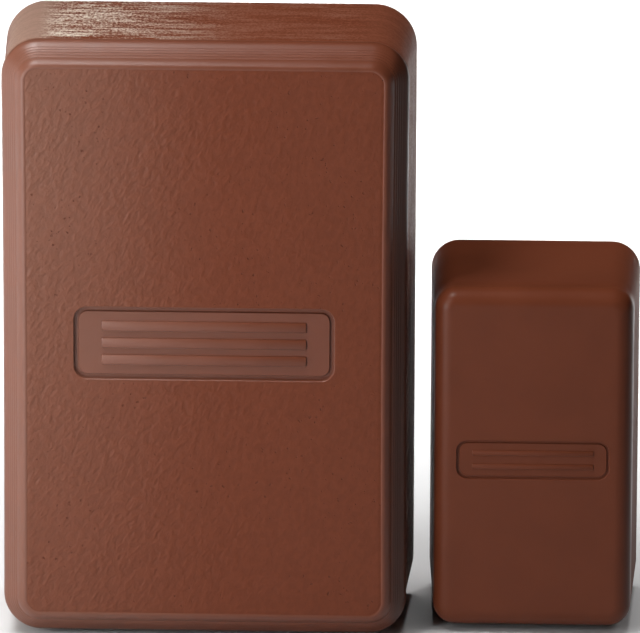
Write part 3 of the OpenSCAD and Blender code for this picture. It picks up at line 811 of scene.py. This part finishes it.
def chip_part(name, at, size, upright):
    """A surface-mounted part: body, two metal end caps and the solder slopes under them."""
    length, width, height = size
    cap = length * 0.2

    def block(tag, a, b, half_w, h, bevel):
        low = (at[0] + a, BOARD_Y - h, at[1] - half_w)
        high = (at[0] + b, BOARD_Y, at[1] + half_w)
        if upright:
            low, high = (at[0] - half_w, BOARD_Y - h, at[1] + a), (at[0] + half_w, BOARD_Y, at[1] + b)
        return box_mesh(f"{name}_{tag}", low, high, bevel)

    half = length / 2
    body = block("body", -half + cap * 0.9, half - cap * 0.9, width / 2 - 0.02, height - 0.03, 0.03)
    ends = [block("end_a", -half, -half + cap, width / 2, height, 0.06),
            block("end_b", half - cap, half, width / 2, height, 0.06),
            block("slope_a", -half - 0.25, -half + 0.05, width / 2 + 0.08, height * 0.35, 0.1),
            block("slope_b", half - 0.05, half + 0.25, width / 2 + 0.08, height * 0.35, 0.1)]
    return body, ends


def make_board_parts():
    """Small surface-mounted parts, printed frames, solder joints and metal frames of the switches."""
    resistors = [((-16, 8.9), 0), ((-12.6, 8.9), 0), ((-6.0, 9.0), 0), ((-8.4, 20.4), 1), ((-10.6, 20.4), 1),
                 ((3.9, 9.4), 0), ((8.4, -7.2), 1), ((8.4, -15.0), 1), ((-2.6, -1.6), 1), ((12.4, -16.4), 0)]
    ceramics = [((-9.3, 8.9), 0), ((-6.2, 20.4), 1), ((3.9, 6.6), 0), ((8.4, -11.0), 1), ((-2.6, 2.6), 1),
                ((12.4, -13.2), 0), ((15.6, 22.0), 0), ((-8.4, 24.6), 0)]
    bodies = {"resistor": [], "ceramic": []}
    ends = []
    for kind, places, size in (("resistor", resistors, (2.0, 1.25, 0.5)),
                               ("ceramic", ceramics, (2.0, 1.25, 0.9))):
        for i, (at, upright) in enumerate(places):
            body, caps = chip_part(f"{kind}_{i}", at, size, upright)
            bodies[kind].append(body)
            ends += caps
    for kind, parts in bodies.items():
        place_piece(join(f"{kind}_bodies", parts), "transmitter", (kind,))
    coil, cell, reed = (middle(n) for n in ("antenna_coil", "battery_cell", "reed_glass"))
    joints = [(reed.x, reed.z + 11), (reed.x, reed.z - 11), (6.2, coil.z + 2.5)]
    for i, (x, z) in enumerate(joints):
        ends.append(turned(f"joint_{i}", [(0.95, -0.05), (0.9, 0.05), (0.6, 0.12), (0.4, 0.45), (0.3, 0.5)],
                           (x, BOARD_Y, z), steps=24))
    for node in ("battery_plate_plus", "battery_plate_minus"):
        low, high = node_box(node)
        foot_z = high.z if node.endswith("plus") else low.z
        for side in (-1, 1):
            ends.append(turned(f"{node}_{side}", [(0.8, -0.02), (0.7, 0.3), (0.4, 0.5), (0.1, 0.55)],
                               (cell.x + side * 1.6, BOARD_Y, foot_z), steps=24))
    place_piece(join("solder_joints", ends), "transmitter", ("solder",))
    frames = [("tamper_switch", 0.5), ("learn_button_body", 0.5), ("rf_shield", 0.5),
              ("controller_chip", 0.3), ("capacitor", 0.4), ("jumper_header", 0.4),
              ("terminal_block", 0.35), ("crystal", 0.45)]
    lines = []
    for node, room in frames:
        low, high = node_box(node)
        x0, x1, z0, z1 = low.x - room, high.x + room, low.z - room, high.z + room
        sides = ((x0, x1, z0, z0), (x0, x1, z1, z1), (x0, x0, z0, z1), (x1, x1, z0, z1))
        for i, (a, b, c, d) in enumerate(sides):
            lines.append(box_mesh(f"{node}_{i}", (a - 0.07, BOARD_Y - 0.03, c - 0.07),
                                  (b + 0.07, BOARD_Y + 0.02, d + 0.07), 0.01))
    for x, z, upright in ((-17.3, 5.2, 0), (-17.3, 5.2, 1), (-3.0, -24.6, 0)):
        half = (0.12, 0.8) if upright else (0.8, 0.12)
        lines.append(box_mesh(f"sign_{x}_{upright}", (x - half[0], BOARD_Y - 0.03, z - half[1]),
                              (x + half[0], BOARD_Y + 0.02, z + half[1]), 0.01))
    place_piece(join("board_print", lines), "transmitter", ("print",))
    make_switch_frames()
    make_capacitor()
    make_crystal_flange()


def make_switch_frames():
    """Bright metal frame and rivets on the learn button's body, and a collar on the tamper switch."""
    low, high = node_box("learn_button_body")
    mid = (low + high) / 2
    plate = box_mesh("plate", (low.x + 0.1, low.y - 0.14, low.z + 0.1),
                     (high.x - 0.1, low.y, high.z - 0.1), 0.04)
    cut(plate, [turned("opening", [(1.95, -1), (1.95, 1)], (mid.x, low.y, mid.z))])
    parts = [plate]
    for sx in (-1, 1):
        for sz in (-1, 1):
            at = (mid.x + sx * 2.3, low.y - 0.1, mid.z + sz * 2.3)
            parts.append(turned(f"rivet_{sx}_{sz}", [(0.42, 0), (0.38, 0.1), (0.2, 0.16), (0.02, 0.17)],
                                at, steps=20))
            leg_x, leg_z = mid.x + sx * 3.35, mid.z + sz * 2.2
            parts.append(box_mesh(f"leg_{sx}_{sz}", (leg_x - 0.4, BOARD_Y - 0.3, leg_z - 0.35),
                                  (leg_x + 0.4, BOARD_Y, leg_z + 0.35), 0.08))
    place_piece(join("button_frame", parts), "transmitter", ("nickel_sheet",))
    low, high = node_box("tamper_switch")
    mid = (low + high) / 2
    collar = tube("tamper_collar", (mid.x, low.y, mid.z), 2.05, 1.78, 0.25, 0.05)
    place_piece(collar, "transmitter", ("black",))


def make_capacitor():
    """Aluminium can with a rolled groove and a scored top, on its chamfered base."""
    low, high = node_box("capacitor")
    mid = (low + high) / 2
    top = BOARD_Y - low.y
    can = turned("can", [(2.6, 0.7), (2.95, 0.75), (3.0, 0.95), (2.78, 1.25), (2.78, 1.4), (3.0, 1.7),
                         (3.0, top - 0.35), (2.85, top - 0.1), (2.6, top), (2.35, top - 0.03),
                         (2.3, top - 0.08)],
                 (mid.x, BOARD_Y, mid.z))
    cut(can, [box_mesh(f"score_{i}", (mid.x - half_x, low.y - 1, mid.z - half_z),
                       (mid.x + half_x, low.y + 0.16, mid.z + half_z))
              for i, (half_x, half_z) in enumerate(((1.7, 0.12), (0.12, 1.7)))])
    foot = box_mesh("foot", (low.x + 0.02, BOARD_Y - 0.8, low.z + 0.02),
                    (high.x - 0.02, BOARD_Y, high.z - 0.02), 0.12)
    piece = join("capacitor_can", [can, foot], [0, 1])
    place_piece(piece, "transmitter", ("drawn_can", "can_sleeve"), "capacitor")


def make_crystal_flange():
    """Welded flange round the foot of the crystal's can."""
    low, high = node_box("crystal")
    mid = ((low.x + high.x) / 2, (low.z + high.z) / 2)
    half_x, half_z = (high.x - low.x) / 2, (high.z - low.z) / 2
    bm = bmesh.new()
    loft(bm, [outline(half_x + grow, half_z + grow, half_x + grow - 0.05, BOARD_Y - h, mid=mid)
              for grow, h in ((0.35, 0.0), (0.35, 0.3), (0.28, 0.4), (0.02, 0.42))])
    flange = finish_mesh(bm, "crystal_flange")
    place_piece(flange, "transmitter", ("drawn_can",))


# the material of each CAD node that stays
CAD_FINISH = {
    "lid_latch": "inside", "circuit_board": "board", "board_screws": "zinc_screw",
    "battery_cell": "sleeve", "battery_plate_plus": "nickel_sheet",
    "battery_plate_minus": "nickel_sheet", "battery_spring": "spring_wire", "reed_glass": "glass",
    "reed_blade_upper": "reed_metal", "reed_blade_lower": "reed_metal", "tamper_switch": "black",
    "tamper_plunger": "ivory", "tamper_spring": "spring_wire", "learn_button_body": "black",
    "learn_button_cap": "black_gloss", "status_led": "lens", "antenna_coil": "copper_wire",
    "rf_shield": "tinned_shield", "controller_chip": "chip", "crystal": "drawn_can",
    "jumper_header": "black", "jumper_pins": "gold_pins", "jumper_link": "black_gloss",
    "terminal_block": "terminal", "terminal_clamps": "nickel_sheet",
    "terminal_screw_left": "zinc_screw", "terminal_screw_right": "zinc_screw", "magnet_base": "inside",
    "bar_magnet": "magnet_metal", "magnet_foam": "foam",
}


def finish_cad_nodes():
    """Gives each CAD node that stays its own material."""
    for name, material in CAD_FINISH.items():
        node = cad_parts[name]
        node.data.materials.clear()
        node.data.materials.append(MATERIALS[material])


# ---------------------------------------------------------------- stage


def make_world():
    """Dim surroundings with a pale band along the horizon."""
    world = bpy.data.worlds.new("studio")
    world.use_nodes = True
    tree = world.node_tree
    coords = tree.nodes.new("ShaderNodeTexCoord")
    split = tree.nodes.new("ShaderNodeSeparateXYZ")
    away = tree.nodes.new("ShaderNodeMath")
    away.operation = "ABSOLUTE"
    band = tree.nodes.new("ShaderNodeMapRange")
    band.interpolation_type = "SMOOTHSTEP"
    for key, number in (("From Min", 0.02), ("From Max", 0.07), ("To Min", 0.22), ("To Max", 0.008)):
        band.inputs[key].default_value = number
    tree.links.new(coords.outputs["Generated"], split.inputs[0])
    tree.links.new(split.outputs["Z"], away.inputs[0])
    tree.links.new(away.outputs["Value"], band.inputs["Value"])
    back = tree.nodes["Background"]
    tree.links.new(band.outputs["Result"], back.inputs["Strength"])
    back.inputs["Color"].default_value = (1, 1, 1, 1)
    bpy.context.scene.world = world


def area_light(name, at, target, size, power, spread, mirrored):
    """A rectangular softbox, size[0] across and size[1] high in metres, that points at target."""
    data = bpy.data.lights.new(name, "AREA")
    data.shape = "RECTANGLE"
    data.size, data.size_y = size
    data.energy = power
    data.spread = math.radians(spread)
    light = bpy.data.objects.new(name, data)
    light.location = at
    light.rotation_euler = (Vector(target) - Vector(at)).to_track_quat("-Z", "Y").to_euler()
    light.visible_camera = False
    light.visible_glossy = mirrored
    bpy.context.scene.collection.objects.link(light)


def make_lights():
    """Small softboxes at the front left, two weak lights behind, and lights for the floor alone.

    Each row: place, the point that it faces, width and height in metres, power, spread in degrees,
    and whether the object mirrors it.
    """
    rows = {
        "key_left": ((-0.113, -0.138, 0.010), (0.0, -0.017, 0.0), (0.07, 0.07), 0.080, 140, True),
        "key_upper": ((-0.066, -0.085, 0.200), (0.0, -0.020, 0.03), (0.06, 0.06), 0.055, 80, True),
        "key_over": ((-0.050, -0.040, 0.160), (0.0, -0.020, 0.03), (0.05, 0.05), 0.012, 180, True),
        "key_middle": ((-0.089, -0.155, 0.092), (0.02, -0.017, 0.0), (0.03, 0.03), 0.052, 180, True),
        "card_left": ((-0.130, -0.040, 0.010), (0.0, -0.030, 0.0), (0.20, 0.10), 0.105, 180, True),
        "back_right": ((0.17, 0.24, 0.12), (0.02, 0.0, 0.0), (0.05, 0.10), 0.24, 180, False),
        "back_far": ((0.15, 0.40, 0.25), (0.02, 0.0, 0.01), (0.15, 0.15), 0.03, 180, False),
        "floor_left": ((-0.10, -0.12, 0.15), (-0.10, -0.12, -0.03), (0.16, 0.16), 0.20, 70, True),
        "floor_front": ((-0.07, -0.30, 0.15), (-0.07, -0.30, -0.03), (0.24, 0.24), 0.30, 70, True),
        "floor_behind": ((0.05, 0.36, 0.60), (0.05, 0.36, -0.03), (0.6, 0.58), 2.3, 23, False),
    }
    for name, row in rows.items():
        area_light(name, *row)
    # an even light from straight above keeps the floor as pale far away as it is near
    overhead = bpy.data.lights.new("overhead", "SUN")
    overhead.energy = 1.1
    overhead.angle = math.radians(20)
    straight_down = bpy.data.objects.new("overhead", overhead)
    straight_down.visible_glossy = False
    bpy.context.scene.collection.objects.link(straight_down)


def make_stage():
    """Pale paper floor under both housings, the surroundings and the lights."""
    bm = bmesh.new()
    bmesh.ops.create_circle(bm, cap_ends=True, segments=96, radius=6,
                            matrix=Matrix.Translation((0, 0, cad_bounds[0][2])))
    floor = finish_mesh(bm, "floor")
    paper = Nodes("floor_paper", roughness=0.9, specular_ior_level=0.1)
    fibres = paper.noise(paper.place((20, 20, 20)), 1.0, 3.0, 0.6)
    paper.link(paper.blend(fibres, (0.60, 0.60, 0.60), (0.63, 0.63, 0.63)), "Base Color")
    floor.data.materials.append(paper.material)
    make_world()
    make_lights()
    bpy.context.scene.view_settings.view_transform = "Standard"


# ---------------------------------------------------------------- build

BOARD_SCREWS = screw_places()
MATERIALS = make_materials()

make_camera()
make_stage()
make_lid()
make_base()
make_cover()
make_board_parts()
finish_cad_nodes()
